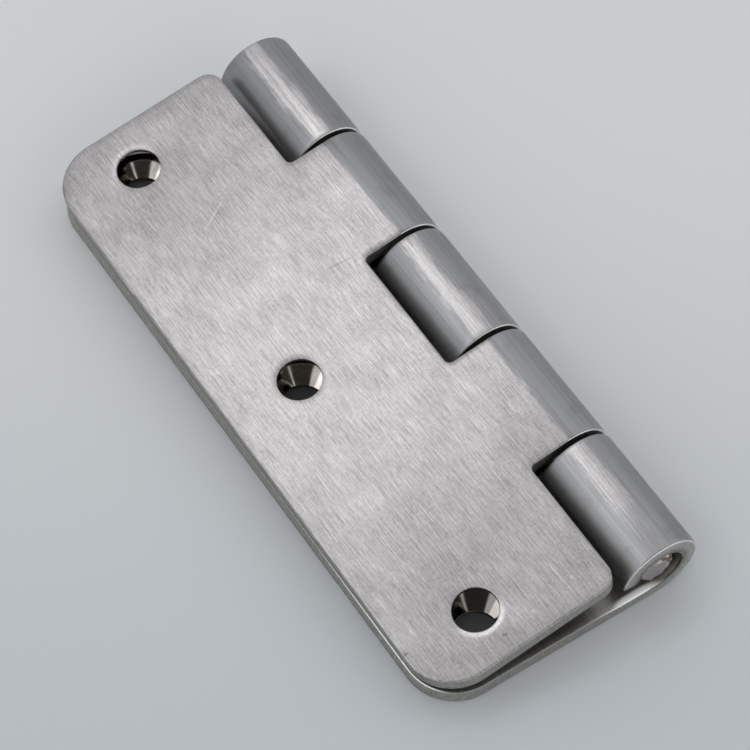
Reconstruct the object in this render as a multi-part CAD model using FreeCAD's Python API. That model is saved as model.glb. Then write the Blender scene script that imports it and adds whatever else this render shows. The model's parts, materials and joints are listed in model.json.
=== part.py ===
# Butt hinge for a cabinet door: two leaves of stainless sheet, rolled into knuckles round one plain pin.
# Frame: +Y runs along the pin, +Z points away from the cabinet, and the origin is the middle screw hole of
# the fixed leaf, on the face that lies on the cabinet. The hinge is folded shut, as it lies on a table.
import FreeCAD, Part
import math
import os

# Driving dimensions, in millimetres and degrees
leaf_length = 100.0            # along the pin
leaf_reach = 35.25             # pin axis to the free edge of a leaf
leaf_thickness = 2.5           # sheet thickness, also the wall of a knuckle
pin_diameter = 6.9
pin_clearance = 0.05           # all round the pin, in every knuckle
pin_recess = 0.35              # pin ends lie this far inside the end faces
pin_chamfer = 1.2
knuckle_count = 5              # the fixed leaf has the first one, then the leaves take turns
knuckle_gap = 0.7              # between two neighbouring knuckles
slot_clearance = 0.3           # a slot's floor stands this far outside the barrel
roll_opening = 3.3             # from the cut end of the roll to the inner face of the strip
cut_end_bevel = 0.5            # broken corners of the cut end of the roll
free_corner_radius = 7.3       # the two corners at the free edge
barrel_corner_radius = 2.5     # corners of a leaf beside an end knuckle of the other leaf
slot_corner_radius = 0.8       # inner corners of the slots
outer_edge_chamfer = 0.35      # broken edge round the outer face and the knuckles
inner_edge_chamfer = 0.2       # deburred edge round the inner face and the bores
hole_diameter = 6.3
hole_rim_chamfer = 0.25        # deburred rim on the outer face
hole_land = 0.4                # straight wall of a hole, between its rim and its countersink
countersink_angle = 118.0      # on the inner face, made with the point of a drill
hole_count = 3
hole_end_inset = 7.8           # end of the leaf to the centre of its last hole
hole_edge_inset = 11.4         # free edge to the row of holes
free_edge_gap = 0.75           # between the two inner faces at the free edges, as folded
tool_overrun = 1.0             # cutting tools run this far past what they cut

# Sizes that follow from them
bore_radius = pin_diameter / 2 + pin_clearance
barrel_radius = bore_radius + leaf_thickness
slot_floor = barrel_radius + slot_clearance
knuckle_pitch = leaf_length / knuckle_count
hole_radius = hole_diameter / 2
hole_row = leaf_reach - hole_edge_inset
hole_pitch = (leaf_length - 2 * hole_end_inset) / max(hole_count - 1, 1)
countersink_depth = leaf_thickness - hole_rim_chamfer - hole_land
countersink_slope = math.tan(math.radians(countersink_angle / 2))

# The strip meets the roll straight below the pin, and the sheet goes round from there to its cut end
root_angle = -90.0
cut_angle = 180.0 + math.degrees(math.asin((bore_radius - roll_opening) / barrel_radius))

# The folded leaf leans past parallel until only free_edge_gap is left at the free edges
inner_corner_distance = math.hypot(leaf_reach, bore_radius)
inner_corner_angle = math.degrees(math.atan2(bore_radius, leaf_reach))
closing_angle = math.degrees(math.asin((bore_radius - free_edge_gap) / inner_corner_distance))
fold_past_parallel = inner_corner_angle + closing_angle

# The leaves are made with the pin axis at X = 0, Z = 0, and then moved to the frame above
axis_in_frame = FreeCAD.Vector(hole_row, 0, barrel_radius)
pin_axis_point = FreeCAD.Vector(0, 0, 0)
along_pin = FreeCAD.Vector(0, 1, 0)
upward = FreeCAD.Vector(0, 0, 1)
same_place = 1e-4


def line(start, end):
    return Part.LineSegment(start, end).toShape()


def arc(start, middle, end):
    return Part.Arc(start, middle, end).toShape()


def section_point(radius, angle):
    """Point of the leaf's section at a radius from the pin axis and an angle from +X towards +Z."""
    turn = math.radians(angle)
    return FreeCAD.Vector(radius * math.cos(turn), 0, radius * math.sin(turn))


def roll_arc(radius, start_angle, end_angle):
    """Arc of the rolled sheet round the pin axis."""
    middle = section_point(radius, (start_angle + end_angle) / 2)
    return arc(section_point(radius, start_angle), middle, section_point(radius, end_angle))


def rolled_section():
    """Section of a leaf across the pin: a flat strip that runs tangent into the roll, up to its cut end."""
    strip = FreeCAD.Vector(leaf_reach, 0, 0)
    outer_root = section_point(barrel_radius, root_angle)
    inner_root = section_point(bore_radius, root_angle)
    outer_stop = cut_angle - math.degrees(cut_end_bevel / barrel_radius)
    inner_stop = cut_angle - math.degrees(cut_end_bevel / bore_radius)
    outer_cut = section_point(barrel_radius - cut_end_bevel, cut_angle)
    inner_cut = section_point(bore_radius + cut_end_bevel, cut_angle)
    edges = [
        line(outer_root - strip, outer_root),
        roll_arc(barrel_radius, root_angle, outer_stop),
        line(section_point(barrel_radius, outer_stop), outer_cut),
        line(outer_cut, inner_cut),
        line(inner_cut, section_point(bore_radius, inner_stop)),
        roll_arc(bore_radius, inner_stop, root_angle),
        line(inner_root, inner_root - strip),
        line(inner_root - strip, outer_root - strip),
    ]
    return Part.Face(Part.Wire(edges))


def rounded_outline(corners):
    """Closed outline through square corners given as (x, y, rounding radius)."""
    points = [FreeCAD.Vector(x, y, 0) for x, y, radius in corners]
    arc_rise = 1 - math.sqrt(0.5)
    starts = []
    ends = []
    edges = []
    for index, corner in enumerate(points):
        radius = corners[index][2]
        back = (points[index - 1] - corner).normalize() * radius
        ahead = (points[(index + 1) % len(points)] - corner).normalize() * radius
        starts.append(corner + back)
        ends.append(corner + ahead)
        if radius > 0:
            edges.append(arc(corner + back, corner + (back + ahead) * arc_rise, corner + ahead))
    for index, start in enumerate(starts):
        edges.append(line(ends[index - 1], start))
    return Part.Wire(Part.__sortEdges__(edges))


def blank_outline(first_knuckle):
    """Plan of the blanked sheet: free corners, tabs for its own knuckles and slots for the other leaf's."""
    half_length = leaf_length / 2
    tab_end = barrel_radius + tool_overrun
    last = knuckle_count - 1
    corners = [(-leaf_reach, half_length, free_corner_radius), (-leaf_reach, -half_length, free_corner_radius)]
    for index in range(knuckle_count):
        owned = index % 2 == first_knuckle
        if not owned and index in (0, last):
            end = -half_length if index == 0 else half_length
            corners.append((-slot_floor, end, barrel_corner_radius))
        if not owned:
            continue
        near_end = -half_length + index * knuckle_pitch
        far_end = near_end + knuckle_pitch
        if index > 0:
            near_end += knuckle_gap / 2
            corners.append((-slot_floor, near_end, slot_corner_radius))
        corners.append((tab_end, near_end, 0))
        if index < last:
            far_end -= knuckle_gap / 2
        corners.append((tab_end, far_end, 0))
        if index < last:
            corners.append((-slot_floor, far_end, slot_corner_radius))
    return rounded_outline(corners)


def on_sheet_surface(point, roll_radius):
    """True on the side of the sheet that is rolled at this radius."""
    if point.x < 0 and point.z < -bore_radius + same_place:
        return abs(point.z + roll_radius) < same_place
    return abs(math.hypot(point.x, point.z) - roll_radius) < same_place


def blanked_edges(leaf, roll_radius):
    """Edges that the blanking tool cut on one side of the sheet, without the creases and the cut end of the roll."""
    found = []
    for edge in leaf.Edges:
        first, last = edge.FirstParameter, edge.LastParameter
        start, middle, end = [edge.valueAt(place) for place in (first, (first + last) / 2, last)]
        if not all(on_sheet_surface(point, roll_radius) for point in (start, middle, end)):
            continue
        straight_along_pin = math.hypot(start.x - end.x, start.z - end.z) < same_place
        if straight_along_pin and start.x > -slot_floor + same_place:
            continue
        found.append(edge)
    return found


def screw_hole(y):
    """What one screw hole takes away: a through hole with a countersink on the inner face."""
    through_length = leaf_thickness + 2 * tool_overrun
    through_start = FreeCAD.Vector(-hole_row, y, -barrel_radius - tool_overrun)
    through = Part.makeCylinder(hole_radius, through_length, through_start, upward)
    cone_height = countersink_depth + tool_overrun
    cone_start = FreeCAD.Vector(-hole_row, y, -bore_radius - countersink_depth)
    cone_top_radius = hole_radius + cone_height * countersink_slope
    cone = Part.makeCone(hole_radius, cone_top_radius, cone_height, cone_start, upward)
    return through.fuse(cone)


def outer_rims(leaf):
    """Edges of the screw holes on the outer face."""
    circles = [edge for edge in leaf.Edges if isinstance(edge.Curve, Part.Circle)]
    holes = [edge for edge in circles if abs(edge.Curve.Radius - hole_radius) < same_place]
    return [edge for edge in holes if abs(edge.Curve.Center.z + barrel_radius) < same_place]


def leaf_with_knuckles(first_knuckle):
    """A leaf that owns every second knuckle, with its roll at the pin axis and its strip below it."""
    sheet = rolled_section().extrude(along_pin * leaf_length)
    sheet.translate(along_pin * (-leaf_length / 2))
    blank_height = 2 * (barrel_radius + tool_overrun)
    blank = Part.Face(blank_outline(first_knuckle)).extrude(upward * blank_height)
    blank.translate(upward * (-blank_height / 2))
    leaf = sheet.common(blank).removeSplitter().Solids[0]
    leaf = leaf.makeChamfer(outer_edge_chamfer, blanked_edges(leaf, barrel_radius))
    leaf = leaf.makeChamfer(inner_edge_chamfer, blanked_edges(leaf, bore_radius))
    for index in range(hole_count):
        steps_from_middle = index - (hole_count - 1) / 2
        leaf = leaf.cut(screw_hole(steps_from_middle * hole_pitch))
    leaf = leaf.Solids[0]
    return leaf.makeChamfer(hole_rim_chamfer, outer_rims(leaf))


def fixed_leaf():
    return leaf_with_knuckles(0)


def moving_leaf():
    """The second leaf, turned over so that it folds onto the fixed one, and leaning past parallel."""
    leaf = leaf_with_knuckles(1).mirror(pin_axis_point, upward)
    leaf.rotate(pin_axis_point, along_pin, -fold_past_parallel)
    return leaf


def hinge_pin():
    """Round bar with chamfered ends."""
    length = leaf_length - 2 * pin_recess
    bar = Part.makeCylinder(pin_diameter / 2, length, along_pin * (-length / 2), along_pin)
    ends = [edge for edge in bar.Edges if isinstance(edge.Curve, Part.Circle)]
    return bar.makeChamfer(pin_chamfer, ends)


os.makedirs("parts", exist_ok=True)
for make_piece in (fixed_leaf, moving_leaf, hinge_pin):
    name = make_piece.__name__
    solid = make_piece()
    solid.translate(axis_in_frame)
    solid.exportStep("parts/" + name + ".step")
    box = solid.optimalBoundingBox()
    state = "valid" if solid.isValid() else "broken"
    corners = [round(value, 2) for value in (box.XMin, box.YMin, box.ZMin, box.XMax, box.YMax, box.ZMax)]
    print(name, state, "volume", round(solid.Volume, 2), "box", corners)
print("folded past parallel by", round(fold_past_parallel, 3), "degrees")
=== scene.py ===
# %% [markdown]
# # A cabinet hinge in brushed stainless steel
# This hinge is two stamped steel leaves that turn on one pin. The round knuckles aren't separate tubes: each
# leaf is one flat sheet whose tabs are rolled round the pin. The imported model is the frame for everything
# here, so the lesson starts by loading it, and it keeps the model's box to print at the end.

# %% Load the frame
import json
import math
from functools import partial

import bmesh
import bpy
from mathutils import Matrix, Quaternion, Vector


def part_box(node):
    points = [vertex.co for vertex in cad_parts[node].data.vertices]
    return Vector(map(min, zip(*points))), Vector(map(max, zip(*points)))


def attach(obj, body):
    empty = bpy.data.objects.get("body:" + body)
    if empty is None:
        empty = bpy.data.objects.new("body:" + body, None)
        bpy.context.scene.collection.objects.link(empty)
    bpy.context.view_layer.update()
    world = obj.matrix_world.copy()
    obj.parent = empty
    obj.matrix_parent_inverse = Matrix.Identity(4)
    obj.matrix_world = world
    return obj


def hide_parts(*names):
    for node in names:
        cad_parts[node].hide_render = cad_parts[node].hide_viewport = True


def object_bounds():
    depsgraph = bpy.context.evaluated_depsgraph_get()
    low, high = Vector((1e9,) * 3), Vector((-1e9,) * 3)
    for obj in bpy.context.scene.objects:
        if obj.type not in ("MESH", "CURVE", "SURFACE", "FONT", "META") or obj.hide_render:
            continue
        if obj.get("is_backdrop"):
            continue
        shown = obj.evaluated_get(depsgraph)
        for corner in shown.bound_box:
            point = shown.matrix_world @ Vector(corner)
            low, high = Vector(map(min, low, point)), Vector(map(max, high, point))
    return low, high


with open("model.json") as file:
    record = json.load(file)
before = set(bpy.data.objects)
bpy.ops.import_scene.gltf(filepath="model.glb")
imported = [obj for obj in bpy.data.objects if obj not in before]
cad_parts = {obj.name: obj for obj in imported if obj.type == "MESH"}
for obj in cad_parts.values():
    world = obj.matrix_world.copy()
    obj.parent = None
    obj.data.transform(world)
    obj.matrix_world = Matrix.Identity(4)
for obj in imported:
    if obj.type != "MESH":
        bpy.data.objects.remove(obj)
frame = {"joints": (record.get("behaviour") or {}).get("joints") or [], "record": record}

cad_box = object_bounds()

# %% [markdown]
# ## Sizes
# Every size that the model already holds is read from it: the pin axis from the joint, the lean of the
# folded leaf and the screw holes from the mounts, and the outer sizes from the boxes of the nodes. Only what
# a box can't tell, such as the sheet's thickness, is written here. The pieces are drawn in millimetres,
# because such numbers are easy to read, and scaled to metres at the end.

# %% Sizes from the frame, and the sheet's own
MM = 0.001
pin_axis = Vector(frame["joints"][0]["pos_m"]) / MM
mounts = {mount["name"]: mount for mount in frame["record"]["mounts"]}
fixed_low, fixed_high = [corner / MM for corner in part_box("fixed_leaf")]
pin_low, pin_high = [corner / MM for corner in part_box("hinge_pin")]
leaf_length = fixed_high.y - fixed_low.y
half_length = leaf_length / 2
leaf_reach = pin_axis.x - fixed_low.x
barrel_radius = fixed_high.x - pin_axis.x
pin_radius = (pin_high.z - pin_low.z) / 2
pin_length = pin_high.y - pin_low.y
lean = math.asin(-mounts["moving_leaf_face"]["axis"][0])
screws = [mounts["fixed_leaf_" + place + "_screw"] for place in ("near", "middle", "far")]
hole_places = [screw["pos_m"][1] / MM for screw in screws]
hole_radius = screws[0]["dims"]["r_mm"]
hole_row = -pin_axis.x

sheet_thickness = 2.5
roll_turn = math.radians(271.9)
bore_radius = barrel_radius - sheet_thickness
roll_radius = bore_radius + sheet_thickness / 2
tab_end = roll_radius * roll_turn
print("leaf", round(leaf_length, 2), "by", round(leaf_reach, 2), "mm, lean", round(math.degrees(lean), 2))
print("a tab is", round(tab_end, 2), "mm long before it is rolled")

# %% [markdown]
# ## The camera
# The photograph looks down on the hinge from its free edge, through a long lens, so lines that run away from
# the camera hardly draw together. A camera on a ring round one aim point is easy to reason about: a
# distance, a turn round the hinge, a height, and a small roll, because the photograph isn't quite level.

# %% Camera
camera_aim = Vector((9.04, -4.10, 6.0)) * MM
camera_distance = 415.17 * MM
camera_azimuth = math.radians(-36.6)
camera_elevation = math.radians(57.3)
camera_roll = math.radians(3.49)
camera_lens = 145.13


def new_object(name, data):
    """A new object in the scene."""
    made = bpy.data.objects.new(name, data)
    bpy.context.scene.collection.objects.link(made)
    return made


def away_from_aim(azimuth, elevation):
    """Direction from the aim point, for a turn round the hinge and a height above the table."""
    level = math.cos(elevation)
    return Vector((math.sin(azimuth) * level, -math.cos(azimuth) * level, math.sin(elevation)))


def stand_back(thing, aim, direction, distance, roll=0.0):
    """Puts a camera or a lamp at a distance from its aim, facing it."""
    thing.location = aim + direction * distance
    thing.rotation_mode = "QUATERNION"
    thing.rotation_quaternion = direction.to_track_quat("Z", "Y") @ Quaternion((0, 0, 1), roll)


camera_data = bpy.data.cameras.new("photo_camera")
camera_data.lens = camera_lens
camera = new_object("photo_camera", camera_data)
towards_camera = away_from_aim(camera_azimuth, camera_elevation)
stand_back(camera, camera_aim, towards_camera, camera_distance, camera_roll)
bpy.context.scene.camera = camera
print("camera at", [round(value / MM, 1) for value in camera.location], "mm")

# %% [markdown]
# ## Node helpers
# Both the finishes and the rolled sheet are made of nodes, so a few helpers keep the later cells short. A
# value may be a number or another node's socket: `feed` sets the one and links the other. A socket knows its
# tree, so most helpers add their node to the tree of the sockets that they are given.

# %% Helpers for nodes
def feed(socket, value):
    """Links a socket to another socket, or sets its plain value."""
    if isinstance(value, bpy.types.NodeSocket):
        socket.id_data.links.new(value, socket)
    else:
        socket.default_value = value


def add(tree, kind, inputs=None, **settings):
    """A new node with its settings, and its inputs by name or number."""
    node = tree.nodes.new(kind)
    for name, value in settings.items():
        setattr(node, name, value)
    for name, value in (inputs or {}).items():
        feed(node.inputs[name], value)
    return node


def add_after(kind, inputs, **settings):
    """A new node, by the end of its kind's name, in the tree of the sockets that feed it."""
    sockets = [value for value in inputs.values() if isinstance(value, bpy.types.NodeSocket)]
    return add(sockets[0].id_data, "ShaderNode" + kind, inputs, **settings)


# %% Helpers for numbers
def calc(operation, *values):
    """The result of a Math node."""
    return add_after("Math", dict(enumerate(values)), operation=operation).outputs[0]


def product(first, *others):
    """Several values multiplied."""
    for other in others:
        first = calc("MULTIPLY", first, other)
    return first


def remap(value, low, high, new_low=0.0, new_high=1.0):
    """A value moved smoothly from one range to another, and held at its ends. Low may be above high."""
    ranges = {"Value": value, "From Min": low, "From Max": high, "To Min": new_low, "To Max": new_high}
    return add_after("MapRange", ranges, interpolation_type="SMOOTHSTEP").outputs["Result"]


def between(value, begins, ends):
    """1 between two soft borders and 0 outside them. Each border runs from its 0 to its 1."""
    return product(remap(value, *begins), remap(value, *ends))


# %% Helpers for vectors
ORIGIN = (0.0, 0.0, 0.0)


def vector_calc(operation, *vectors):
    """The result of a Vector Math node, which for some operations is a number."""
    node = add_after("VectorMath", dict(enumerate(vectors)), operation=operation)
    gives_number = operation in ("LENGTH", "DISTANCE", "DOT_PRODUCT")
    return node.outputs["Value" if gives_number else "Vector"]


def split(vector):
    """The X, Y and Z of a vector."""
    return add_after("SeparateXYZ", {"Vector": vector}).outputs


def combine(**parts):
    """A vector from its X, Y and Z."""
    return add_after("CombineXYZ", parts).outputs["Vector"]


def turn_level(vector, angle):
    """A vector turned in the plane of the sheet."""
    inputs = {"Vector": vector, "Angle": angle}
    return add_after("VectorRotate", inputs, rotation_type="Z_AXIS").outputs["Vector"]


def object_place(member):
    """Where a point lies on its object, in millimetres, for the tree of a node or a socket."""
    metres = add(member.id_data, "ShaderNodeTexCoord").outputs["Object"]
    return vector_calc("MULTIPLY", metres, (1 / MM, 1 / MM, 1 / MM))


# %% Helpers for textures and colours
def noise(vector, scale=1.0, detail=3.0, roughness=0.6):
    """Smooth random values from 0 to 1, mostly near the middle."""
    inputs = {"Vector": vector, "Scale": scale, "Detail": detail, "Roughness": roughness}
    return add_after("TexNoise", inputs).outputs["Fac"]


def blend(share, first, second):
    """Two colours mixed by a share from 0 to 1. A colour is a socket, or its red, green and blue."""
    node = add(share.id_data, "ShaderNodeMix", data_type="RGBA")
    sockets = {socket.identifier: socket for socket in node.inputs}
    feed(sockets["Factor_Float"], share)
    for name, colour in (("A_Color", first), ("B_Color", second)):
        feed(sockets[name], (*colour, 1.0) if isinstance(colour, tuple) else colour)
    return next(socket for socket in node.outputs if socket.identifier == "Result_Color")


# %% Helpers for groups
GEOMETRY = "NodeSocketGeometry"
MATERIAL = "NodeSocketMaterial"


def new_group(name, inputs, outputs):
    """An empty node group. Each named socket is given as a number, a vector or a kind of socket."""
    kind = "GeometryNodeTree" if GEOMETRY in outputs.values() else "ShaderNodeTree"
    tree = bpy.data.node_groups.new(name, kind)
    for way, sockets in (("INPUT", inputs), ("OUTPUT", outputs)):
        for label, value in sockets.items():
            plain_type = "NodeSocketVector" if isinstance(value, tuple) else "NodeSocketFloat"
            socket_type = value if isinstance(value, str) else plain_type
            socket = tree.interface.new_socket(label, in_out=way, socket_type=socket_type)
            if socket_type == plain_type:
                socket.default_value = value
    print("tree", name, "takes", ", ".join(inputs))
    return tree, tree.nodes.new("NodeGroupInput").outputs, tree.nodes.new("NodeGroupOutput").inputs


def use_group(group, **inputs):
    """A group placed in another tree with its own values, and its first output."""
    named = {name.capitalize(): value for name, value in inputs.items()}
    return add_after("Group", named, node_tree=group).outputs[0]


print("node helpers ready")

# %% [markdown]
# ## Lines of the belt
# The flat faces were run under a sanding belt, which leaves thousands of short fine lines. They could be
# painted, but lines in a node group stay sharp at any distance: a noise is squeezed across the lines and
# drawn out along them. The group reads the flat sheet's own coordinates, so the lines bend with the metal.

# %% Group: belt lines
def belt_lines_group():
    """Lines along the sheet's length, a little off the edge, from 0 to 1."""
    inputs = {"Sheet": ORIGIN, "Slant": 0.0, "Width": 0.2, "Length": 4.0}
    tree, given, result = new_group("belt_lines", inputs, {"Lines": 0.0})
    turned = turn_level(given["Sheet"], given["Slant"])
    across = calc("DIVIDE", 1.0, given["Width"])
    along = calc("DIVIDE", 1.0, given["Length"])
    squeezed = vector_calc("MULTIPLY", turned, combine(X=across, Y=along, Z=1.0))
    feed(result["Lines"], remap(noise(squeezed), 0.25, 0.75))
    return tree


belt_lines = belt_lines_group()

# %% [markdown]
# ## Marks of use
# A used sheet has sparse hairline scratches, small pits with dirt in them, and single marks. Noise can strew
# random marks, but one that the photograph shows has to lie in its place, so it is given its middle and its
# direction. Each kind is a group of its own, with its sizes as inputs.

# %% Group: scratches
scratch_border = 0.06


def scratches_group():
    """Sparse thin scratches, 1 in a scratch and 0 beside it."""
    inputs = {"Sheet": ORIGIN, "Slant": 0.0, "Width": 0.3, "Length": 12.0, "Rarity": 0.7}
    tree, given, result = new_group("scratches", inputs, {"Scratch": 0.0})
    lines = use_group(belt_lines, sheet=given["Sheet"], slant=given["Slant"],
                      width=given["Width"], length=given["Length"])
    border = calc("ADD", given["Rarity"], scratch_border)
    feed(result["Scratch"], remap(lines, given["Rarity"], border))
    return tree


scratches = scratches_group()

# %% Group: pits
def pits_group():
    """Small dark pits at random places, 1 in a pit and 0 beside it."""
    inputs = {"Sheet": ORIGIN, "Spacing": 5.0, "Size": 0.15, "Share": 0.2}
    tree, given, result = new_group("pits", inputs, {"Pit": 0.0})
    per_length = calc("DIVIDE", 1.0, given["Spacing"])
    cells = add_after("TexVoronoi", {"Vector": given["Sheet"], "Scale": per_length})
    from_middle = product(cells.outputs["Distance"], given["Spacing"])
    dot = calc("LESS_THAN", from_middle, given["Size"])
    draw = add_after("SeparateColor", {"Color": cells.outputs["Color"]}).outputs["Red"]
    chosen = calc("LESS_THAN", draw, given["Share"])
    feed(result["Pit"], product(dot, chosen))
    return tree


pits = pits_group()

# %% Group: one single mark
waver_reach = 0.4


def single_mark_group():
    """One wavering mark at a chosen place, 1 on the mark and 0 beside it."""
    inputs = {"Sheet": ORIGIN, "Middle": ORIGIN, "Turn": 0.0, "Reach": 2.0, "Breadth": 0.1}
    tree, given, result = new_group("single_mark", inputs, {"Mark": 0.0})
    from_middle = vector_calc("SUBTRACT", given["Sheet"], given["Middle"])
    place = split(turn_level(from_middle, product(given["Turn"], -1.0)))
    waver = calc("SUBTRACT", noise(given["Sheet"], 0.5, 2.0, 0.5), 0.5)
    across = calc("ABSOLUTE", calc("MULTIPLY_ADD", waver, waver_reach, place["Y"]))
    beside = remap(calc("DIVIDE", across, given["Breadth"]), 1.0, 0.4)
    along = calc("ABSOLUTE", place["X"])
    lengthwise = remap(calc("DIVIDE", along, given["Reach"]), 1.0, 0.6)
    broken = remap(noise(given["Sheet"], 3.0, 2.0), 0.3, 0.5)
    feed(result["Mark"], product(beside, lengthwise, broken))
    return tree


single_mark = single_mark_group()

# %% [markdown]
# ## Steel
# One sheet of steel shows several finishes, each with its own colour, roughness and relief. One big material
# with masks could hold them all, but a short function for each is easier to read. What they share is here: a
# metal shader, its colour and roughness, its relief, and the place of a point on the flat sheet.

# %% Start and dress a material
def start_material(name, metallic=1.0):
    """A new material and its shader."""
    material = bpy.data.materials.new(name)
    material.use_nodes = True
    shader = material.node_tree.nodes["Principled BSDF"]
    shader.inputs["Metallic"].default_value = metallic
    print("material", name)
    return material, shader


def dress(shader, colour, roughness):
    """Gives a shader its colour and its roughness."""
    feed(shader.inputs["Base Color"], colour)
    feed(shader.inputs["Roughness"], roughness)


def relief(shader, height, depth):
    """Height from 0 to 1 as relief of this depth in millimetres."""
    bump = add_after("Bump", {"Height": height, "Strength": 1.0, "Distance": depth * MM})
    feed(shader.inputs["Normal"], bump.outputs["Normal"])


def leaf_material(name):
    """A new material, and where a point lay on the flat sheet: along it, along the pin and deep, in mm."""
    material, shader = start_material(name)
    sheet = add(shader.id_data, "ShaderNodeAttribute", attribute_name="sheet").outputs["Vector"]
    return material, shader, sheet


# %% [markdown]
# ## Outer face
# The belt left the flat warm, pale and lined. On the barrel it touched only the top, in a stripe that fades
# at one end, and the rest keeps the smooth, bluish skin from the rolling mill. Two materials would meet in a
# hard line, so one blends both looks by a ragged share. Single marks and the painted highlights on the hole
# rims are given one by one, because random ones would fall elsewhere.

# %% Where the belt touched
belt_slant = math.radians(0.5)
belt_stop = -0.2
belt_drift = -0.015
belt_ragged = 1.1
belt_border = 0.35
stripe_middle = roll_radius * math.radians(189)
stripe_half = roll_radius * math.radians(13)
stripe_drift = 0.004
stripe_fades = -39.0
stripe_end = -48.0


def sanded_share(sheet):
    """Where the belt touched: the flat, and one stripe along the top of the roll, with ragged borders."""
    place = split(sheet)
    broad = use_group(belt_lines, sheet=sheet, slant=belt_slant, width=0.7, length=9.0)
    ragged = product(calc("SUBTRACT", broad, 0.5), belt_ragged)
    moved = calc("ADD", place["X"], ragged)
    past_stop = calc("MULTIPLY_ADD", place["Y"], belt_drift, moved)
    flat = remap(past_stop, belt_stop + belt_border, belt_stop - belt_border)
    middle = calc("MULTIPLY_ADD", place["Y"], stripe_drift, stripe_middle)
    from_stripe = calc("ABSOLUTE", calc("SUBTRACT", moved, middle))
    stripe = remap(from_stripe, stripe_half + belt_border, stripe_half - belt_border)
    stripe = product(stripe, remap(place["Y"], stripe_end, stripe_fades, 0.25, 1.0))
    return calc("MAXIMUM", flat, stripe), stripe


print("stripe", round(2 * stripe_half, 2), "mm wide")

# %% Marks of this one hinge
# Each mark is its place on the sheet, its direction in degrees, half its length and half its width.
pale_marks = [
    ((-19.3, -29.1), -29, 2.9, 0.10),
    ((-23.9, -18.7), 83, 1.5, 0.09),
    ((-12.3, 45.0), 86, 3.2, 0.10),
    ((-17.9, 46.8), 60, 0.3, 0.2),
    ((-11.1, 46.0), 60, 0.3, 0.2),
]
dark_marks = [
    ((-9.4, -11.7), 7, 2.4, 0.09),
    ((-22.8, 47.4), 30, 0.45, 0.25),
    ((-34.7, 42.0), 0, 0.4, 0.25),
    ((15.6, 8.5), 90, 1.0, 0.24),
    ((16.5, 8.2), 84, 0.8, 0.2),
]
# Strength of the painted highlight on each hole rim, in the order of the screw places, and how far out it
# reaches
rim_highlight_strengths = [0.08, 0.28, 0.5]
rim_highlight_width = 1.1


def marked(sheet, marks):
    """1 on any of the marks."""
    total = 0.0
    for middle, turn, reach, breadth in marks:
        sizes = {"turn": math.radians(turn), "reach": reach, "breadth": breadth}
        mark = use_group(single_mark, sheet=sheet, middle=(*middle, 0.0), **sizes)
        total = calc("MAXIMUM", total, mark)
    return total


def painted_rim_highlights(sheet):
    """Painted highlights on the hole rims, on the side towards the end of the leaf, strongest at the last
    hole.
    """
    total = 0.0
    for place, highlight_strength in zip(hole_places, rim_highlight_strengths):
        offset = vector_calc("SUBTRACT", sheet, (hole_row, place, 0.0))
        level = vector_calc("MULTIPLY", offset, (1.0, 1.0, 0.0))
        distance = vector_calc("LENGTH", level)
        ring = remap(distance, hole_radius + rim_highlight_width, hole_radius, 0.0, highlight_strength)
        towards_end = remap(split(level)["Y"], 0.0, hole_radius)
        total = calc("MULTIPLY_ADD", ring, towards_end, total)
    uneven = remap(noise(sheet, 1.2, 2.0), 0.3, 0.7, 0.5, 1.0)
    return product(total, uneven)


print(len(pale_marks), "pale and", len(dark_marks), "dark marks")

# %% Colour of the sanded metal
SANDED = [(0.17, 0.164, 0.168), (0.60, 0.57, 0.572)]
SCRATCH = (0.74, 0.72, 0.72)
RIM_HIGHLIGHT = (0.95, 0.94, 0.94)
GRIME = (0.10, 0.09, 0.08)
medium_share = 0.40
fine_share = 0.24
grain_share = 0.56
lines_base = -0.10
cloud_share = 0.5
pale_mark_share = 0.42
dark_mark_share = 0.55
crossing_slant = math.radians(-38)


def sanded_lines(sheet):
    """Long and short lines of the belt and the speckle between them, from about 0 to 1."""
    fine = use_group(belt_lines, sheet=sheet, slant=belt_slant, width=0.085, length=1.4)
    medium = use_group(belt_lines, sheet=sheet, slant=belt_slant * 3, width=0.19, length=4.5)
    grain = noise(sheet, 2.4, 2.0, 0.7)
    lines = calc("MULTIPLY_ADD", fine, fine_share, lines_base)
    lines = calc("MULTIPLY_ADD", medium, medium_share, lines)
    return calc("MULTIPLY_ADD", grain, grain_share, lines)


def sanded_colour(sheet, lines):
    """Pale lined metal with soft clouds, scratches, painted highlights on the hole rims, and dirt."""
    cloudy = calc("SUBTRACT", noise(sheet, 0.16), 0.5)
    tone = calc("MULTIPLY_ADD", cloudy, cloud_share, lines)
    metal = blend(tone, *SANDED)
    along = use_group(scratches, sheet=sheet, slant=belt_slant, width=0.10, length=6.0, rarity=0.88)
    crossing = use_group(scratches, sheet=sheet, slant=crossing_slant, width=0.12, length=8.0, rarity=0.97)
    metal = blend(calc("MAXIMUM", along, crossing), metal, SCRATCH)
    metal = blend(product(marked(sheet, pale_marks), pale_mark_share), metal, SCRATCH)
    # Painted highlights on the hole rims
    metal = blend(painted_rim_highlights(sheet), metal, RIM_HIGHLIGHT)
    pitted = use_group(pits, sheet=sheet, spacing=4.0, size=0.12, share=0.06)
    dark = product(marked(sheet, dark_marks), dark_mark_share)
    return blend(calc("MAXIMUM", pitted, dark), metal, GRIME)


# %% Colour of the mill skin
MILL = [(0.29, 0.292, 0.30), (0.365, 0.37, 0.38)]
MILL_OILY = (0.21, 0.21, 0.222)
MILL_SHADE_BESIDE_BELT = (0.17, 0.172, 0.18)
STAIN = (0.24, 0.215, 0.19)
stain_share = 0.45


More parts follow.
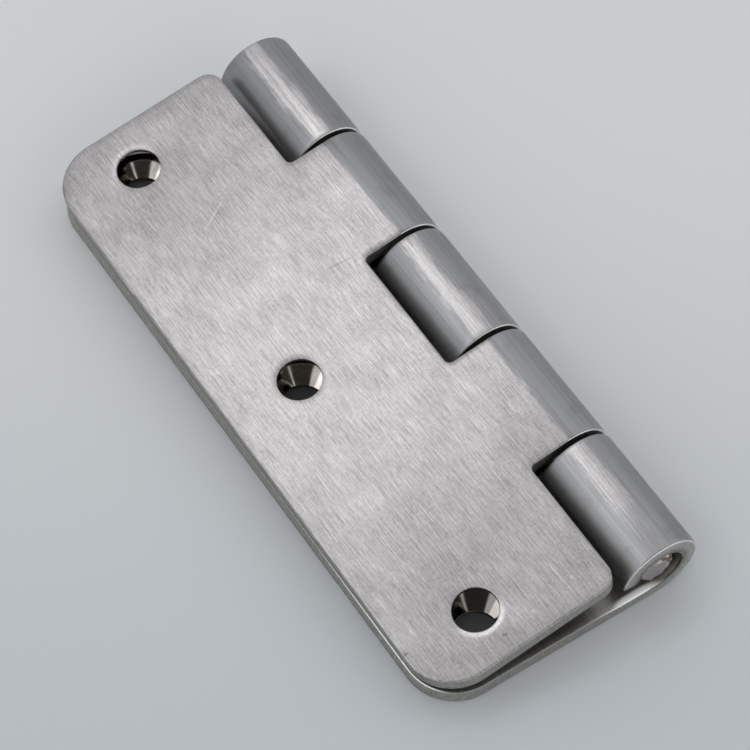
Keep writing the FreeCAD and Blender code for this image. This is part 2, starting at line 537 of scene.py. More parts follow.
def mill_colour(sheet):
    """Bluish skin, faintly lined lengthwise, oilier at the far end, brown-stained, with painted shade by the
    belt.
    """
    drawn = use_group(belt_lines, sheet=sheet, width=0.5, length=30.0)
    skin = blend(drawn, *MILL)
    along_pin = split(object_place(sheet))["Y"]
    oily = remap(along_pin, -half_length / 2, half_length, 0.0, 0.35)
    skin = blend(oily, skin, MILL_OILY)
    stained = remap(noise(sheet, 0.22), 0.52, 0.74, 0.0, stain_share)
    skin = blend(stained, skin, STAIN)
    # Painted shade on the mill skin just beside the belt's border
    shade_beside_belt = remap(split(sheet)["X"], 1.0, 0.4, 0.0, 0.55)
    return blend(shade_beside_belt, skin, MILL_SHADE_BESIDE_BELT)


# %% Outer face
SHEET_MAP = "sheet_map"
sanded_depth = 0.003
sanded_stretch = 0.7
stripe_share = 0.22


def outer_face():
    """Sanded on the flat and in one stripe along the top of the roll, mill skin on the rest."""
    material, shader, sheet = leaf_material("outer_face")
    sanded, stripe = sanded_share(sheet)
    lines = sanded_lines(sheet)
    lined = sanded_colour(sheet, lines)
    lined = blend(product(stripe, stripe_share), lined, SCRATCH)
    colour = blend(sanded, mill_colour(sheet), lined)
    dress(shader, colour, remap(sanded, 0.0, 1.0, 0.32, 0.31))
    relief(shader, product(lines, sanded), sanded_depth)
    shader.inputs["Anisotropic"].default_value = sanded_stretch
    across_lines = add(shader.id_data, "ShaderNodeTangent", direction_type="UV_MAP", uv_map=SHEET_MAP)
    feed(shader.inputs["Tangent"], across_lines.outputs["Tangent"])
    return material


leaf_finishes = {"Outer": outer_face()}

# %% [markdown]
# ## Inner face and edges
# The inner faces never saw the belt: they are dull, with blotches of old oil, and carry a painted highlight
# only where rolling pressed their edge down. Cut edges are sheared and rough: painted shade darkens them in
# the slots, they are ground at the barrel's ends, and darker at the free edge. A file broke the narrow edges
# beside them: bright on the outer side, and dull on the inner side but for painted highlights near one corner
# and before the roll, and dirt and painted shade in the crevice round the pin. Such wear could be painted into
# an image, but here each finish asks where a point lies and blends by that.

# %% Inner face
INNER_SKIN = [(0.31, 0.30, 0.285), (0.45, 0.435, 0.42)]
INNER_HIGHLIGHT = (0.86, 0.87, 0.89)
press_begins = (-9.5, -5.0)
press_ends = (2.0, -2.0)
press_taper = 1.1


def inner_face():
    """Unbelted mill skin: dull between the leaves, with a painted highlight where rolling pressed its edge."""
    material, shader, sheet = leaf_material("inner_face")
    place = split(sheet)
    from_end = calc("SUBTRACT", half_length, calc("ABSOLUTE", place["Y"]))
    elsewhere = calc("SUBTRACT", 1.0, between(place["X"], press_begins, press_ends))
    tapered = calc("MULTIPLY_ADD", elsewhere, press_taper, from_end)
    # Painted highlight along the inner edge that rolling pressed down
    pressed_edge_highlight = remap(remap(tapered, 1.3, 0.1), 0.05, 0.75)
    drawn = use_group(belt_lines, sheet=sheet, width=0.5, length=30.0)
    blotched = remap(noise(sheet, 0.3), 0.35, 0.75, 0.0, 0.6)
    skin = blend(blotched, blend(drawn, *INNER_SKIN), STAIN)
    dress(shader, blend(pressed_edge_highlight, skin, INNER_HIGHLIGHT), remap(pressed_edge_highlight, 0.0, 1.0, 0.40, 0.45))
    return material


leaf_finishes["Inner"] = inner_face()

# %% Cut edge
CUT = [(0.27, 0.26, 0.24), (0.55, 0.54, 0.505)]
CUT_SHADED = (0.08, 0.075, 0.068)
SLOT_SHADE = [(0.08, 0.075, 0.07), (0.22, 0.21, 0.20)]
GROUND = [(0.34, 0.335, 0.32), (0.60, 0.59, 0.57)]
BORE_DIRT = (0.13, 0.11, 0.095)
through_stretch = (5.0, 5.0, 0.5)
cut_depth = 0.04


def at_leaf_end(along_pin):
    """1 at both ends of the leaf and 0 elsewhere."""
    return remap(calc("ABSOLUTE", along_pin), half_length - 1.0, half_length - 0.4)


def on_upper_leaf(height):
    """1 on the moving leaf, which lies on the fixed one, and 0 on the fixed leaf's strip."""
    return remap(height, sheet_thickness, sheet_thickness + 0.5)


def shaded_free_edge(along_sheet):
    """How dark the wall of the free edge is: on the upper leaf, and at the table."""
    height = split(object_place(along_sheet))["Z"]
    upper_leaf = product(on_upper_leaf(height), 0.3)
    above_table = remap(height, 0.9, 0.2, 0.0, 0.5)
    free_edge = remap(along_sheet, 2.0 - leaf_reach, 0.5 - leaf_reach)
    return product(calc("MAXIMUM", upper_leaf, above_table), free_edge)


def cut_edge():
    """Sheared wall: lined through the thickness, painted shade in the slots, ground at the barrel's ends."""
    material, shader, sheet = leaf_material("cut_edge")
    place = split(sheet)
    sheared = noise(vector_calc("MULTIPLY", sheet, through_stretch), roughness=0.65)
    rough = noise(sheet, 2.5)
    mixed = calc("MULTIPLY_ADD", rough, 0.5, product(sheared, 0.5))
    spread = remap(mixed, 0.3, 0.7)
    dull = blend(spread, *CUT)
    dull = blend(shaded_free_edge(place["X"]), dull, CUT_SHADED)
    # Painted shade on the cut walls in the slots and between the knuckles
    slot_shade = blend(spread, *SLOT_SHADE)
    ground = blend(spread, *GROUND)
    round_pin = product(remap(place["Z"], 1.0, 2.3), remap(rough, 0.34, 0.56), 0.85)
    ground = blend(round_pin, ground, BORE_DIRT)
    near_barrel = blend(at_leaf_end(place["Y"]), slot_shade, ground)
    rolled = remap(place["X"], -9.0, 0.0)
    dress(shader, blend(rolled, dull, near_barrel), remap(rolled, 0.0, 1.0, 0.48, 0.55))
    relief(shader, mixed, cut_depth)
    return material


leaf_finishes["Edge"] = cut_edge()

# %% Deburred edge
FILED_AND_HIGHLIGHT = [(0.55, 0.53, 0.52), (0.92, 0.91, 0.90)]
DULL_EDGE = [(0.20, 0.19, 0.175), (0.42, 0.40, 0.375)]
PIN_CREVICE_DIRT_AND_SHADE = [(0.02, 0.018, 0.016), (0.12, 0.11, 0.10)]
highlight_before_roll = [(-12.0, -6.0), (1.0, -2.0)]
highlight_near_corner = [(-15.0, -40.0), (-49.0, -46.5)]
crevice_round_pin = [(0.5, 2.5), (10.0, 8.0)]
filed_depth = 0.02


def deburred_edge():
    """Filed narrow edge: bright outside; dull inside, with painted highlights near a corner and the roll."""
    material, shader, sheet = leaf_material("deburred_edge")
    place = split(sheet)
    at_end = at_leaf_end(place["Y"])
    # Painted highlights on the inner edge, near the near corner and before the roll
    before_roll = between(place["X"], *highlight_before_roll)
    near_corner = between(split(object_place(shader))["Y"], *highlight_near_corner)
    edge_highlight = calc("MAXIMUM", near_corner, product(before_roll, at_end))
    inner_without_highlight = product(calc("SUBTRACT", 1.0, edge_highlight), remap(place["Z"], 1.0, 2.0))
    # Dirt and painted shade in the crevice round the pin, at the leaf's ends
    crevice_dirt_and_shade = product(between(place["X"], *crevice_round_pin), at_end, inner_without_highlight)
    uneven = noise(sheet, 1.6)
    bright = blend(uneven, *FILED_AND_HIGHLIGHT)
    dull = blend(uneven, *DULL_EDGE)
    crevice_colour = blend(uneven, *PIN_CREVICE_DIRT_AND_SHADE)
    dress(shader, blend(crevice_dirt_and_shade, blend(inner_without_highlight, bright, dull), crevice_colour), roughness=0.26)
    relief(shader, uneven, filed_depth)
    return material


leaf_finishes["Deburred"] = deburred_edge()

# %% [markdown]
# ## Hole walls
# The screw holes are drilled, and countersunk from the inner side, so their walls are smooth and mirror what
# is round them. Old oil has browned them; painted shade darkens them towards the near end, and darkens the
# upper leaf's countersinks, which face the gap between the leaves. A smooth metal that blends to brown and
# black shows all that with no more geometry.

# %% Hole wall
OILED = [(0.52, 0.505, 0.48), (0.40, 0.36, 0.33)]
HOLE_NEAR_END_SHADE = (0.23, 0.22, 0.208)
HOLE_GAP_SHADE = (0.06, 0.055, 0.05)
shaded_near_end = (-20.0, -38.0)
near_end_shade_share = 0.75
hole_land = 0.65
gap_shade_border = 0.25


def hole_wall():
    """Smooth wall and countersink that mirror what is round them, brown from old oil, with painted shade."""
    material, shader, sheet = leaf_material("hole_wall")
    place = split(object_place(shader))
    oiled = remap(noise(sheet, 0.7, 2.0, 0.5), 0.3, 0.7)
    metal = blend(oiled, *OILED)
    # Painted shade, darker towards the near end
    near_end = remap(place["Y"], *shaded_near_end, 0.0, near_end_shade_share)
    metal = blend(near_end, metal, HOLE_NEAR_END_SHADE)
    # Painted shade in the upper leaf's countersink, which faces the gap between the leaves
    below_land = remap(split(sheet)["Z"], hole_land, hole_land + gap_shade_border)
    gap_shade = product(on_upper_leaf(place["Z"]), below_land)
    dress(shader, blend(gap_shade, metal, HOLE_GAP_SHADE), roughness=0.08)
    return material


leaf_finishes["Hole"] = hole_wall()

# %% [markdown]
# ## The flat blank
# A real leaf starts as a flat blank, punched out of sheet with its tabs, slots and holes, and the same order
# works here. The outline is only a list of corners with radii. Drawing it again and again, each time a
# little further in and a little deeper, gives the rounded edge and the wall, and the two flat sides are
# filled last. Rolling squeezes the inner edge down where the roll starts, which shows at the ends of the
# fixed leaf, so its edge is pressed here. `first` says which knuckle a leaf owns first, since the leaves
# take turns along the pin.

# %% Outline of the blank
knuckle_count = 5
knuckle_gap = 0.7
slot_floor = -6.3
free_corner = 7.3
barrel_corner = 2.5
slot_corner = 0.8
tab_corner = 0.5
least_corner_steps = 4
corner_steps_per_mm = 1.4
hole_corners = 64


def blank_corners(first):
    """Corners (along the sheet, along the pin, radius) of a leaf's outline, counter-clockwise."""
    pitch = leaf_length / knuckle_count
    last = knuckle_count - 1
    corners = [(-leaf_reach, half_length, free_corner), (-leaf_reach, -half_length, free_corner)]
    for index in range(knuckle_count):
        owned = index % 2 == first
        if not owned and index in (0, last):
            corners.append((slot_floor, -half_length if index == 0 else half_length, barrel_corner))
        if not owned:
            continue
        near_end = -half_length + index * pitch + (knuckle_gap / 2 if index > 0 else 0)
        far_end = -half_length + (index + 1) * pitch - (knuckle_gap / 2 if index < last else 0)
        if index > 0:
            corners.append((slot_floor, near_end, slot_corner))
        corners.extend([(tab_end, near_end, tab_corner), (tab_end, far_end, tab_corner)])
        if index < last:
            corners.append((slot_floor, far_end, slot_corner))
    return corners


def outline(corners, inset):
    """Points of the outline moved inwards, always as many, so that outlines can be joined by faces."""
    points = []
    for index, (along, across, radius) in enumerate(corners):
        corner = Vector((along, across))
        back = (Vector(corners[index - 1][:2]) - corner).normalized()
        ahead = (Vector(corners[(index + 1) % len(corners)][:2]) - corner).normalized()
        outward_corner = 1 if back.cross(ahead) < 0 else -1
        corner = corner + (back + ahead) * inset * outward_corner
        moved_radius = max(radius - inset * outward_corner, 0)
        centre = corner + (back + ahead) * moved_radius
        steps = least_corner_steps + round(corner_steps_per_mm * radius)
        for step in range(steps + 1):
            turn = math.pi / 2 * step / steps
            points.append(centre - (ahead * math.cos(turn) + back * math.sin(turn)) * moved_radius)
    return points


def turns_round(count):
    """Angles of points that stand evenly round a circle."""
    return [2 * math.pi * step / count for step in range(count)]


def circle(place, outside):
    """Points round a screw hole, at a distance outside it."""
    centre = Vector((hole_row, place))
    radius = hole_radius + outside
    return [centre + Vector((math.cos(turn), math.sin(turn))) * radius for turn in turns_round(hole_corners)]


print("outlines have", [len(outline(blank_corners(first), 0)) for first in (0, 1)], "points")

# %% Sections through an edge and through a hole
OUTER, INNER, EDGE, DEBURRED, HOLE = range(5)
drawn_in = [(1.0, 0.0), (0.62, 0.015)]
drawn_depth = 0.05
# Radius of each rounded edge, and the steps round it
outer_round = (0.30, 5)
inner_round = (0.20, 4)
hole_round = (0.16, 4)
hole_dish = [(1.0, 0.0), (0.7, 0.01), (0.42, 0.03)]
dish_depth = 0.06
countersink_slope = math.tan(math.radians(59))
countersink = (sheet_thickness - hole_land) * countersink_slope
seat_band = 0.3
inner_band = 0.8
crease = 0.03


def quarter_round(radius, steps):
    """(inset, depth) along a quarter round, from the flat side to the wall."""
    turns = [math.pi / 2 * step / steps for step in range(steps + 1)]
    return [(radius * (1 - math.sin(turn)), radius * (1 - math.cos(turn))) for turn in turns]


def edge_section():
    """(inset, depth, zone of the face that follows) through a cut edge, from outer to inner side."""
    outer = quarter_round(*outer_round)
    inner = reversed(quarter_round(*inner_round))
    section = [(inset, depth, OUTER) for inset, depth in drawn_in]
    section += [(inset, drawn_depth + depth, OUTER) for inset, depth in outer]
    section[-1] = section[-1][:2] + (EDGE,)
    section += [(inset, sheet_thickness - depth, DEBURRED) for inset, depth in inner]
    section[-1] = section[-1][:2] + (INNER,)
    return section + [(inner_band, sheet_thickness, INNER)]


def hole_section():
    """(distance outside the hole, depth, zone of the face that follows) through a screw hole."""
    rim = quarter_round(*hole_round)
    section = [(outside, depth, OUTER) for outside, depth in hole_dish]
    section += [(outside, dish_depth + depth, OUTER) for outside, depth in rim]
    section[-1] = section[-1][:2] + (HOLE,)
    widening = crease * countersink_slope
    section += [(0.0, hole_land - crease, HOLE), (0.0, hole_land, HOLE)]
    section += [(widening, hole_land + crease, HOLE)]
    section += [(countersink - widening, sheet_thickness - crease, HOLE)]
    section += [(countersink + outside, sheet_thickness, INNER) for outside in (0.0, crease, seat_band)]
    return section


print("sections of", len(edge_section()), "and", len(hole_section()), "points")

# %% Faces of the blank
same_point = 1e-4


def join_rings(shape, ring, other):
    """Faces between two rings that have as many points."""
    pairs = [(index - 1, index) for index in range(len(ring))]
    return [shape.faces.new((ring[a], ring[b], other[b], other[a])) for a, b in pairs]


def stack_rings(blank, zones, section, points_at):
    """Rings of points down a section, joined by faces with its zones. Gives the first and the last ring."""
    rings = []
    for inset, depth, zone in section:
        rings.append([blank.verts.new((*point, depth)) for point in points_at(inset)])
    for ring, deeper, (inset, depth, zone) in zip(rings, rings[1:], section):
        for face in join_rings(blank, ring, deeper):
            face[zones] = zone
    return rings[0], rings[-1]


def cap(blank, zones, rings, zone):
    """Fills a flat side between the outline and the holes."""
    edges = []
    for ring in rings:
        edges += [blank.edges.get((ring[index - 1], corner)) for index, corner in enumerate(ring)]
    filled = bmesh.ops.triangle_fill(blank, edges=edges, use_beauty=True)
    for face in [part for part in filled["geom"] if isinstance(part, bmesh.types.BMFace)]:
        face[zones] = zone


def cut_across(blank, place):
    """Cuts the blank along the pin at one place of the sheet, so that it can bend there."""
    everything = blank.verts[:] + blank.edges[:] + blank.faces[:]
    plane = {"plane_co": (place, 0, 0), "plane_no": (1, 0, 0)}
    bmesh.ops.bisect_plane(blank, geom=everything, dist=same_point, **plane)


# %% Tabs and edges of the blank
level_normal = 0.999
wall_normal = 0.8
press_depth = 0.5


def clean_tabs(blank):
    """Takes the slanting edges out of the flat sides of the tabs, so that only straight bands are left."""
    slanting = []
    for edge in blank.edges:
        start, end = [corner.co for corner in edge.verts]
        on_side = abs(start.z - end.z) < same_point and len(edge.link_faces) == 2
        level = on_side and all(abs(face.normal.z) > level_normal for face in edge.link_faces)
        if level and min(start.x, end.x) > -same_point and abs(start.x - end.x) > same_point:
            slanting.append(edge)
    bmesh.ops.dissolve_edges(blank, edges=slanting, use_verts=False)


def smooth_step(value, low, high):
    """0 at low, 1 at high, with a soft start and stop."""
    share = min(max((value - low) / (high - low), 0), 1)
    return share * share * (3 - 2 * share)


def press_inner_edge(blank):
    """Rolling squeezes the inner edge down where the roll starts, at both ends of the leaf."""
    for corner in blank.verts:
        from_end = half_length - abs(corner.co.y)
        if from_end < inner_band and corner.co.z > sheet_thickness / 2:
            pressed = smooth_step(corner.co.x, *press_begins) * smooth_step(corner.co.x, *press_ends)
            corner.co.z -= press_depth * pressed * (1 - from_end / inner_band)


def file_tab_ends(blank, zones):
    """The rounded edges at the ends of the knuckles are filed bright after rolling."""
    for face in blank.faces:
        rounded = face[zones] == OUTER and abs(face.normal.z) < wall_normal
        if rounded and 0 < face.calc_center_median().x < tab_end - 2 * tab_corner:
            face[zones] = DEBURRED


# %% Build the blanks as meshes
bend_lead = -0.6
roll_bands = math.ceil(roll_turn / math.radians(5))
press_cuts = 8
bend_places = [bend_lead]
bend_places += [tab_end * band / roll_bands for band in range(roll_bands)]
bend_places += [press_begins[0] * (cut + 1) / press_cuts for cut in range(press_cuts)]


def piece_from(shape, name):
    """Turns a finished bmesh into an object."""
    mesh = bpy.data.meshes.new(name)
    shape.to_mesh(mesh)
    shape.free()
    print(name, "has", len(mesh.polygons), "faces")
    return new_object(name, mesh)


def flat_blank(name, first):
    """One leaf as a flat blank: along the sheet in X, along the pin in Y, depth from the outer face in Z."""
    blank = bmesh.new()
    zones = blank.faces.layers.int.new("zone")
    stacks = [stack_rings(blank, zones, edge_section(), partial(outline, blank_corners(first)))]
    for place in hole_places:
        stacks.append(stack_rings(blank, zones, hole_section(), partial(circle, place)))
    outer_rings, inner_rings = zip(*stacks)
    cap(blank, zones, outer_rings, OUTER)
    cap(blank, zones, inner_rings, INNER)
    bmesh.ops.remove_doubles(blank, verts=blank.verts, dist=same_point)
    for place in bend_places:
        cut_across(blank, place)
    blank.normal_update()
    clean_tabs(blank)
    if first == 0:
        press_inner_edge(blank)
    bmesh.ops.recalc_face_normals(blank, faces=blank.faces)
    file_tab_ends(blank, zones)
    print("blank of", round(blank.calc_volume(signed=True)), "cubic mm")
    return piece_from(blank, name)


blanks = {"fixed": flat_blank("fixed_leaf_sheet", 0), "moving": flat_blank("moving_leaf_sheet", 1)}

# %% [markdown]
# ## Rolling the knuckles
# The roll follows one rule: past the tangent line, a length along the sheet becomes an angle round the pin,
# and the depth in the sheet becomes a smaller radius. Geometry Nodes can say that rule for every point, so
# one tree rolls both leaves. It first stores where each point lay in the flat sheet, which the finishes
# read. The second leaf is turned over and leans on the first.

# %% Helpers for geometry
def step_on(kind, geometry, inputs=None, **settings):
    """One step that takes a geometry in and hands it on."""
    inputs = {"Geometry": geometry, **(inputs or {})}
    return add(geometry.id_data, "GeometryNode" + kind, inputs, **settings).outputs["Geometry"]


def seat(geometry, inputs):
    """Turns and moves a piece to its place, scales it to metres, and makes it smooth and real."""
    geometry = step_on("Transform", geometry, inputs)
    geometry = step_on("Transform", geometry, {"Scale": (MM, MM, MM)})
    geometry = step_on("SetShadeSmooth", geometry)
    return step_on("RealizeInstances", geometry)


# %% Geometry Nodes tree: roll a sheet
zone_border = 0.1


def roll_tree():
    """Rolls the tabs of a flat blank round the pin, sets it in its place and gives each zone its finish."""
    inputs = {"Blank": GEOMETRY, "Barrel radius": barrel_radius, "Roll radius": roll_radius,
              "Turned over": 0.0, "Lean": 0.0, "Pin axis": ORIGIN}
    inputs.update({zone: MATERIAL for zone in leaf_finishes})
    tree, given, result = new_group("roll_sheet", inputs, {"Leaf": GEOMETRY})
    position = add(tree, "GeometryNodeInputPosition").outputs["Position"]
    leaf = step_on("StoreNamedAttribute", given["Blank"], {"Name": "sheet", "Value": position},
                   data_type="FLOAT_VECTOR", domain="POINT")
    leaf = step_on("StoreNamedAttribute", leaf, {"Name": SHEET_MAP, "Value": position},
                   data_type="FLOAT2", domain="CORNER")
    place = split(position)
    angle = calc("DIVIDE", calc("MAXIMUM", place["X"], 0.0), given["Roll radius"])
    radius = calc("SUBTRACT", given["Barrel radius"], place["Z"])
    strip = calc("MINIMUM", place["X"], 0.0)
    sideways = calc("MULTIPLY_ADD", radius, calc("SINE", angle), strip)
    upwards = product(radius, calc("COSINE", angle), -1.0)
    rolled = combine(X=sideways, Y=place["Y"], Z=upwards)
    leaf = step_on("SetPosition", leaf, {"Position": rolled})
    half_turn = product(given["Turned over"], math.pi)
    turn = combine(X=half_turn, Y=given["Lean"])
    leaf = seat(leaf, {"Rotation": turn, "Translation": given["Pin axis"]})
    zones = add(tree, "GeometryNodeInputNamedAttribute", {"Name": "zone"}, data_type="INT")
    for number, zone in enumerate(leaf_finishes):
        chosen = True
        if number != OUTER:
            chosen = calc("COMPARE", zones.outputs["Attribute"], float(number), zone_border)
        leaf = step_on("SetMaterial", leaf, {"Selection": chosen, "Material": given[zone]})
    feed(result["Leaf"], leaf)
    return tree


rolling = roll_tree()

# %% Roll both leaves and make them plain meshes
def run_tree(piece, tree, values):
    """Evaluates a tree on a piece with named values and keeps the result as the piece's own mesh."""
    modifier = piece.modifiers.new(tree.name, "NODES")
    modifier.node_group = tree
    for socket in tree.interface.items_tree:
        if socket.in_out == "INPUT" and socket.name in values:
            modifier[socket.identifier] = values[socket.name]
    depsgraph = bpy.context.evaluated_depsgraph_get()
    made = bpy.data.meshes.new_from_object(piece.evaluated_get(depsgraph), depsgraph=depsgraph)
    piece.modifiers.clear()
    piece.data = made


shared_values = {**leaf_finishes, "Pin axis": pin_axis}
run_tree(blanks["fixed"], rolling, shared_values)
run_tree(blanks["moving"], rolling, {**shared_values, "Turned over": 1.0, "Lean": -lean})
for body, piece in blanks.items():
    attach(piece, body)
    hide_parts(body + "_leaf")
    print(piece.name, "rides on", body, "with", len(piece.data.materials), "finishes")

# %% [markdown]
# ## The pin
# The pin is a plain drawn bar that shows only at its ends. These were cropped, not turned, so the middle is
# roughly flat and the rim is torn and brown, with painted glints on one side, and brown dirt and painted
# shade in its hollows. The bar is a profile swept round the axis, and a second tree tears its ends: every
# point near an end moves inwards by a random depth that grows towards the rim.

# %% Finish of the pin's side
DRAWN = [(0.34, 0.33, 0.32), (0.56, 0.55, 0.54)]
drawn_stretch = (4.0, 0.06, 4.0)


def pin_side():
    """Drawn bar: fine lines along its length."""
    material, shader = start_material("pin_side")
    drawn = vector_calc("MULTIPLY", object_place(shader), drawn_stretch)
    dress(shader, blend(noise(drawn), *DRAWN), roughness=0.3)
    return material


# %% Finish of the pin's ends
CROPPED = [(0.35, 0.32, 0.32), (0.54, 0.505, 0.50)]
END_BROWN = (0.26, 0.19, 0.13)
END_DIRT_AND_SHADE = (0.08, 0.065, 0.05)
TORN_RIM_AND_GLINTS = [(0.20, 0.15, 0.11), (0.96, 0.92, 0.85)]
glint_way = (0.9, 0.0, 0.43)
torn_relief = 0.15


def pin_end():
    """Cropped end: grey middle, brown hollows with dirt and painted shade, and a torn rim with painted glints.
    """
    material, shader = start_material("pin_end")
    place = object_place(shader)
    torn = noise(place, 1.3, 4.0, 0.65)
    from_middle = calc("ABSOLUTE", split(place)["Y"])
    hollow = remap(from_middle, pin_length / 2 - 0.25, pin_length / 2 - 1.0)
    brown = remap(noise(place, 0.7), 0.42, 0.62)
    metal = blend(torn, *CROPPED)
    metal = blend(product(brown, hollow), metal, END_BROWN)
    # Dirt and painted shade in the hollows of the end
    metal = blend(product(hollow, 0.75), metal, END_DIRT_AND_SHADE)
    from_axis = vector_calc("SUBTRACT", place, pin_axis)
    across = vector_calc("MULTIPLY", from_axis, (1.0, 0.0, 1.0))
    at_rim = remap(vector_calc("LENGTH", across), 1.0, 1.9)
    # Painted glints on the torn rim, on one side only
    glint_side = remap(vector_calc("DOT_PRODUCT", across, glint_way), -0.3, 1.0)
    rim = product(at_rim, glint_side, calc("SUBTRACT", 1.0, hollow))
    ragged = blend(remap(torn, 0.44, 0.60), *TORN_RIM_AND_GLINTS)
    dress(shader, blend(rim, metal, ragged), roughness=0.42)
    relief(shader, torn, torn_relief)
    return material


pin_finishes = {"Side": pin_side(), "End": pin_end()}

# %% Bar with chamfered ends
pin_chamfer = 1.2
end_radii = [0.4, 0.8, 1.2, 1.6, 1.9, pin_radius - pin_chamfer]
chamfer_steps = 5
bar_corners = 72


def bar_profile():
    """(radius, place along the pin) from the middle of one end to the middle of the other."""
    half = pin_length / 2
    end = [(radius, half) for radius in end_radii]
    for step in range(1, chamfer_steps + 1):
        cut = pin_chamfer * step / chamfer_steps
        end.append((pin_radius - pin_chamfer + cut, half - cut))
    return [(radius, -place) for radius, place in end] + list(reversed(end))


def bar_mesh(name):
    """The profile swept round the pin axis, with a face at each end."""
    bar = bmesh.new()
    ways = [(math.sin(turn), math.cos(turn)) for turn in turns_round(bar_corners)]
    rings = []
    for radius, place in bar_profile():
        rings.append([bar.verts.new((radius * x, place, radius * z)) for x, z in ways])
    for ring, next_ring in zip(rings, rings[1:]):
        join_rings(bar, ring, next_ring)
    bar.faces.new(rings[0])
    bar.faces.new(rings[-1])
    bmesh.ops.recalc_face_normals(bar, faces=bar.faces)
    return piece_from(bar, name)


pin_bar = bar_mesh("hinge_pin_bar")

# %% Geometry Nodes tree: crop the ends
end_finish_reach = pin_chamfer + 0.5


def crop_tree():
    """Tears the ends of a bar inwards, most at the rim, sets it in its place and gives it its finishes."""
    inputs = {"Bar": GEOMETRY, "Half length": pin_length / 2, "Radius": pin_radius, "Tear": 0.7,
              "Grain": 0.9, "Seed": 4.0, "Pin axis": ORIGIN, "Side": MATERIAL, "End": MATERIAL}
    tree, given, result = new_group("crop_ends", inputs, {"Pin": GEOMETRY})
    position = add(tree, "GeometryNodeInputPosition").outputs["Position"]
    place = split(position)
    from_middle = calc("ABSOLUTE", place["Y"])
    at_end = remap(calc("SUBTRACT", given["Half length"], from_middle), 1.6, 0.9)
    radius = vector_calc("LENGTH", combine(X=place["X"], Z=place["Z"]))
    at_rim = remap(calc("DIVIDE", radius, given["Radius"]), 0.45, 0.9, 0.12, 1.0)
    seeded = {"Vector": position, "W": given["Seed"], "Scale": given["Grain"], "Detail": 3.0,
              "Roughness": 0.6}
    grain = add_after("TexNoise", seeded, noise_dimensions="4D").outputs["Fac"]
    depth = product(remap(grain, 0.3, 0.7), at_end, at_rim, given["Tear"])
    inwards = product(calc("SIGN", place["Y"]), depth, -1.0)
    pin = step_on("SetPosition", given["Bar"], {"Offset": combine(Y=inwards)})
    pin = seat(pin, {"Translation": given["Pin axis"]})
    pin = step_on("SetMaterial", pin, {"Material": given["Side"]})
    # The pin is in metres by now, so the same position node gives metres here
    near_end = calc("GREATER_THAN", from_middle, (pin_length / 2 - end_finish_reach) * MM)
    pin = step_on("SetMaterial", pin, {"Selection": near_end, "Material": given["End"]})
    feed(result["Pin"], pin)
    return tree


run_tree(pin_bar, crop_tree(), {**pin_finishes, "Pin axis": pin_axis})
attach(pin_bar, "fixed")
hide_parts("hinge_pin")
print(pin_bar.name, "rides on fixed with", len(pin_bar.data.materials), "finishes")

# %% [markdown]
# ## Table and light
# The hinge lies on a plain pale table, with painted light falloff that darkens it towards the camera and
# painted shade below its holes. Steel shows what is around it, so the surroundings shape it: two soft boxes
# make the bright bands, a pale surround fills the rest, and two dark places in it darken parts of the barrel
# and the holes. A picture of a real room could light it too, but these few parts are easier to move.

# %% Floor
TABLE_SHADED_TO_LIT = [(0.57, 0.61, 0.635), (0.74, 0.76, 0.77)]
TABLE_HOLE_SHADE = (0.05, 0.05, 0.045)
falloff_range = (-70.0, 60.0)
hole_shade_share = 0.75
floor_reach = 3.0
floor_data = bpy.data.meshes.new("floor")
floor_corners = [(x * floor_reach, y * floor_reach, 0) for x, y in ((-1, -1), (1, -1), (1, 1), (-1, 1))]
floor_data.from_pydata(floor_corners, [], [(0, 1, 2, 3)])
floor = new_object("floor", floor_data)
floor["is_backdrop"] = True


def pale_table():
    """Matt pale grey with a cool tint, darker towards the camera as painted falloff, painted shade below
    holes.
    """
    material, shader = start_material("pale_table", metallic=0.0)
    place = object_place(shader)
    away = Vector((-towards_camera.x, -towards_camera.y, 0)).normalized()
    # Painted light falloff, darker towards the camera
    far = remap(vector_calc("DOT_PRODUCT", place, away), *falloff_range)
    colour = blend(far, *TABLE_SHADED_TO_LIT)
    # Painted shade on the table below each hole
    for hole in hole_places:
        from_hole = vector_calc("DISTANCE", place, (0.0, hole, 0.0))
        hole_shade = remap(from_hole, 2 * hole_radius, hole_radius, 0.0, hole_shade_share)
        colour = blend(hole_shade, colour, TABLE_HOLE_SHADE)
    dress(shader, colour, roughness=0.7)
    return material


floor_data.materials.append(pale_table())
print("floor", floor_reach * 2, "m across")

# %% Soft boxes
box_distance = 0.9


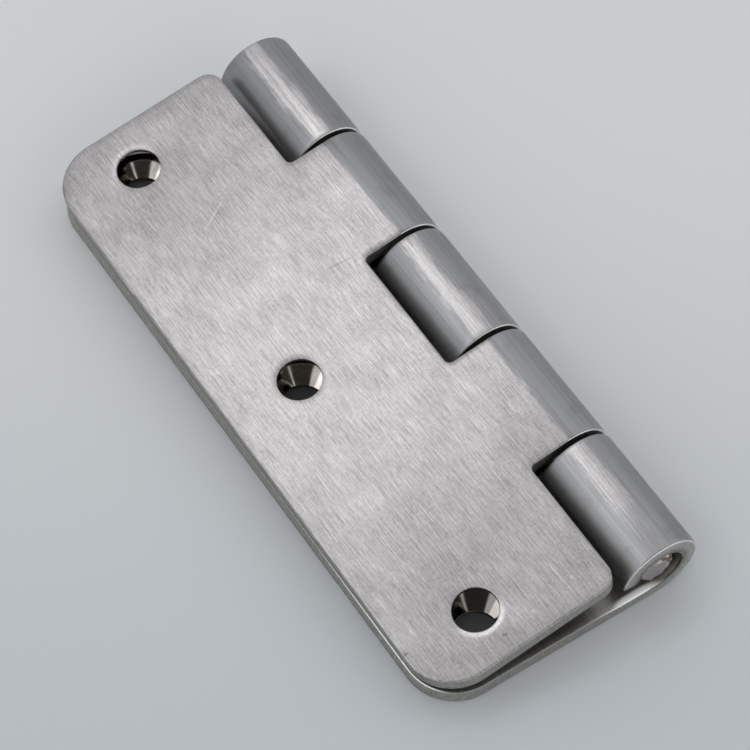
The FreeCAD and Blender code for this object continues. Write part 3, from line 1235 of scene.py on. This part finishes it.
def soft_box(name, direction, size, watts):
    """A rectangular light in a direction from the hinge, facing it."""
    light = bpy.data.lights.new(name, "AREA")
    light.shape = "RECTANGLE"
    light.size, light.size_y = size
    light.energy = watts
    print("light", name, "of", watts, "W")
    stand_back(new_object(name, light), Vector(), Vector(direction).normalized(), box_distance)


soft_box("box_overhead", (0.0, 0.45, 0.90), (0.4, 0.14), 0.32)
soft_box("box_left", (-0.60, 0.20, 0.77), (0.54, 0.20), 0.44)

# %% Surround
SKY = [(0.58, 0.59, 0.60), (0.82, 0.83, 0.85)]
NEAR_SIDE = (1.0, 1.0, 1.0)
DARK_PLACE = (0.05, 0.045, 0.04)
# Degrees round from the camera, above the table, and half across
dark_places = {"behind the camera": (8, 52, 21), "unlit side of the room": (75, 53, 16)}
dark_border = 2
sky_rises = (0.0, 0.8)
near_side_begins = (0.2, -0.4)


def pale_surround():
    """A world, brighter overhead and on the near side than at the horizon, with two dark places."""
    world = bpy.data.worlds.new("pale_surround")
    world.use_nodes = True
    tree = world.node_tree
    direction = add(tree, "ShaderNodeTexCoord").outputs["Generated"]
    way = split(direction)
    far_side = blend(remap(way["Z"], *sky_rises), *SKY)
    seen = blend(remap(way["Y"], *near_side_begins), far_side, NEAR_SIDE)
    for round_from_camera, elevation, half_width in dark_places.values():
        middle = away_from_aim(camera_azimuth + math.radians(round_from_camera), math.radians(elevation))
        facing = vector_calc("DOT_PRODUCT", direction, middle)
        borders = [math.cos(math.radians(half_width + step)) for step in (dark_border, -dark_border)]
        seen = blend(remap(facing, *borders), seen, DARK_PLACE)
    feed(tree.nodes["Background"].inputs["Color"], seen)
    return world


bpy.context.scene.world = pale_surround()
bpy.context.scene.view_settings.view_transform = "Standard"
print("surround with", len(dark_places), "dark places")

# %% [markdown]
# ## Boxes at the end
# Both boxes, the imported model's and the dressed hinge's, are printed in millimetres at the end. The dressed
# hinge has to stay inside the imported model's box.

# %% Sizes before and after
visual_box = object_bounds()
boxes = {"cad": [list(corner) for corner in cad_box], "visual": [list(corner) for corner in visual_box]}
for name, box in boxes.items():
    print(name, "box in mm", [[round(value / MM, 2) for value in corner] for corner in box])
